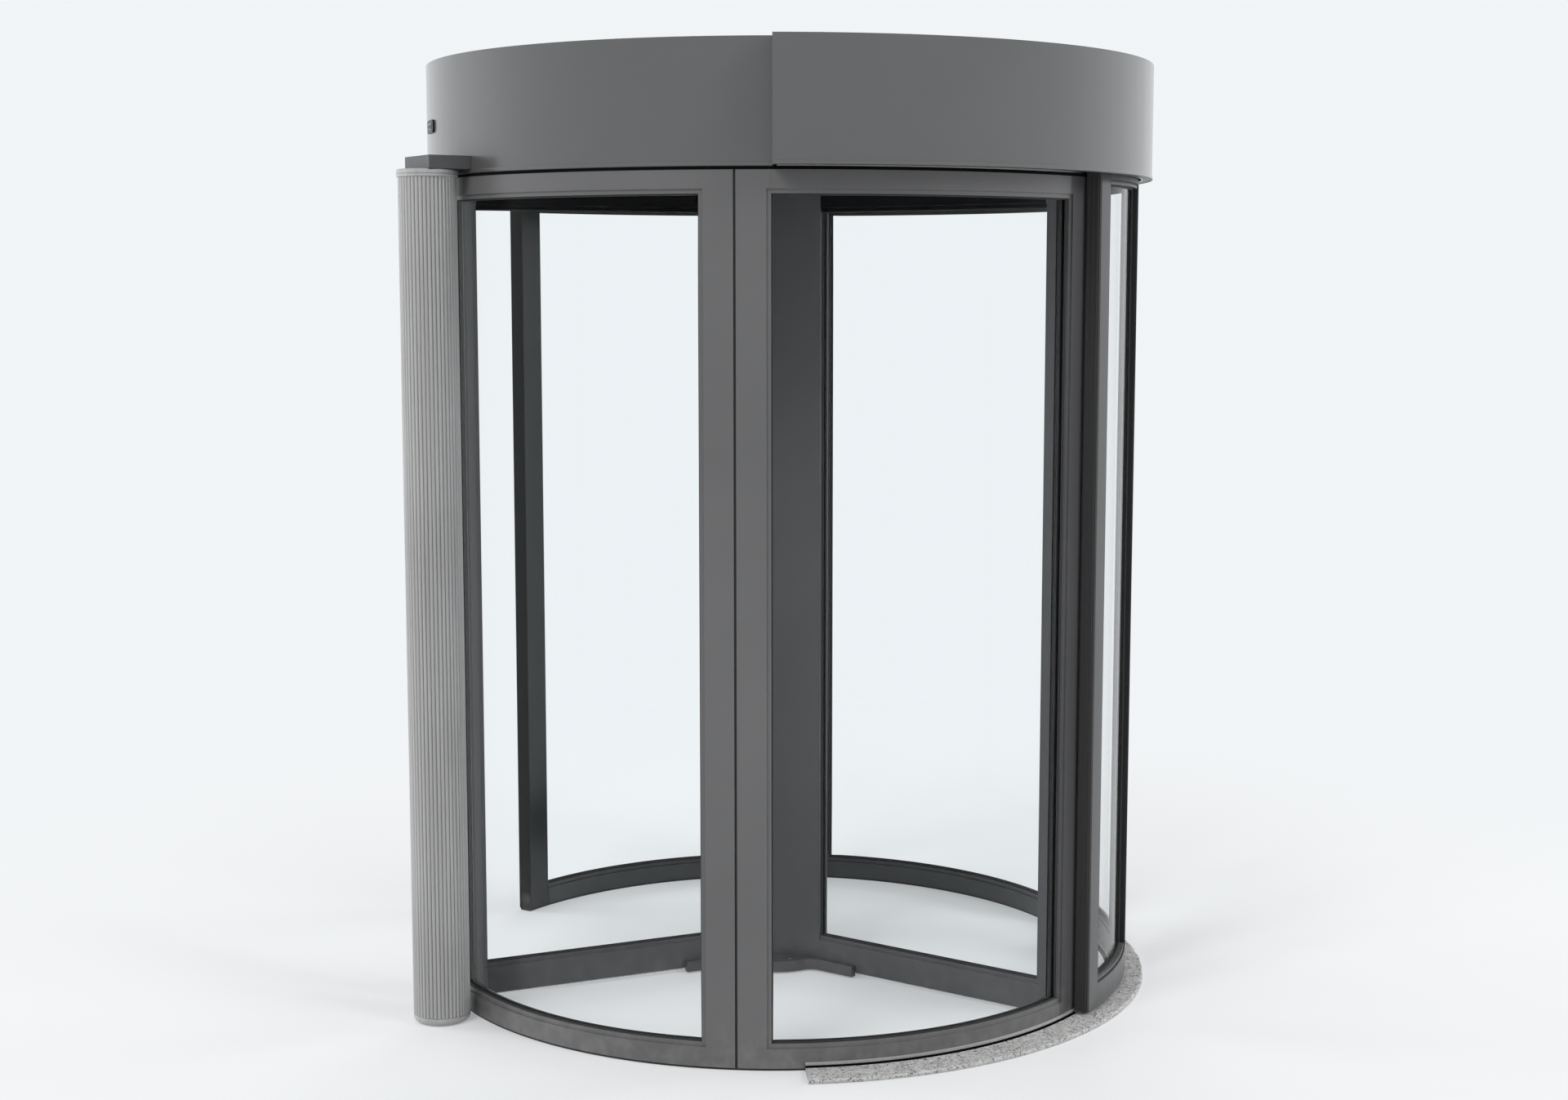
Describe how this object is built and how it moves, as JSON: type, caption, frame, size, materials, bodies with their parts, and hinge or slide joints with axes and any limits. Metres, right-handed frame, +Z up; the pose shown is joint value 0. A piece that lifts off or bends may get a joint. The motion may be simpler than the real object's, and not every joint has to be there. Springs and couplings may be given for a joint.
{
  "type": "three-wing revolving door",
  "caption": "Round revolving door with a glazed drum, turning wings on a lobed centre post, curved sliding night leaves, a stepped canopy, a stone sill and a reeded column.",
  "frame": {"origin": "on the turning axis at floor level, on the underside of the floor pivot", "axes": "+Z up along the turning axis, +X towards the outer side with the night leaves and the sill, -Y towards the joint of the near wall"},
  "size_m": [1.987, 2.0464, 2.5],
  "materials": {
    "frame_paint": "satin powder coat, mid grey",
    "rotor_paint": "satin powder coat, dark grey",
    "column_paint": "satin powder coat, light grey",
    "glass": "clear",
    "black_rubber": "matt",
    "brush": "nylon bristle",
    "granite": "flamed granite",
    "steel": "machined",
    "sensor_black": "glossy"
  },
  "bodies": {
    "drum": {"ceiling": "frame_paint", "column_bracket": "frame_paint", "column_cap": "column_paint", "column_foot": "column_paint", "far_wall_bottom_rails": "frame_paint", "far_wall_end_posts": "frame_paint", "far_wall_glass": "glass", "far_wall_meeting_stiles": "frame_paint", "far_wall_top_rails": "frame_paint", "floor_pivot": "steel", "floor_seals": "black_rubber", "head_bearing": "steel", "inner_fascia": "frame_paint", "near_wall_bottom_rails": "frame_paint", "near_wall_end_posts": "frame_paint", "near_wall_glass": "glass", "near_wall_meeting_stiles": "frame_paint", "near_wall_top_rails": "frame_paint", "night_leaf_head_track": "steel", "outer_fascia": "frame_paint", "presence_sensors": "sensor_black", "reeded_column": "column_paint", "roof_cover": "frame_paint", "stone_sill": "granite", "wall_joint_seals": "black_rubber"},
    "rotor": {"far_wing_glass": "glass", "far_wing_rails": "rotor_paint", "far_wing_stile": "rotor_paint", "near_inner_wing_glass": "glass", "near_inner_wing_rails": "rotor_paint", "near_inner_wing_stile": "rotor_paint", "near_outer_wing_glass": "glass", "near_outer_wing_rails": "rotor_paint", "near_outer_wing_stile": "rotor_paint", "rotor_foot_cover": "rotor_paint", "rotor_post": "rotor_paint", "rotor_shaft": "steel", "wing_brushes": "brush"},
    "near_night_leaf": {"near_night_leaf_edge_seal": "black_rubber", "near_night_leaf_glass": "glass", "near_night_leaf_hangers": "steel", "near_night_leaf_rails": "frame_paint", "near_night_leaf_stiles": "frame_paint"},
    "far_night_leaf": {"far_night_leaf_edge_seal": "black_rubber", "far_night_leaf_glass": "glass", "far_night_leaf_hangers": "steel", "far_night_leaf_rails": "frame_paint", "far_night_leaf_stiles": "frame_paint"}
  },
  "joints": [
    {"name": "rotor_turn", "type": "hinge", "parent": "drum", "child": "rotor", "pos_m": [0, 0, 0], "axis": [0, 0, 1], "continuous": true},
    {"name": "near_night_leaf_slide", "type": "hinge", "parent": "drum", "child": "near_night_leaf", "pos_m": [0, 0, 0], "axis": [0, 0, -1], "range_deg": [0, 27]},
    {"name": "far_night_leaf_slide", "type": "hinge", "parent": "drum", "child": "far_night_leaf", "pos_m": [0, 0, 0], "axis": [0, 0, 1], "range_deg": [0, 27]}
  ]
}
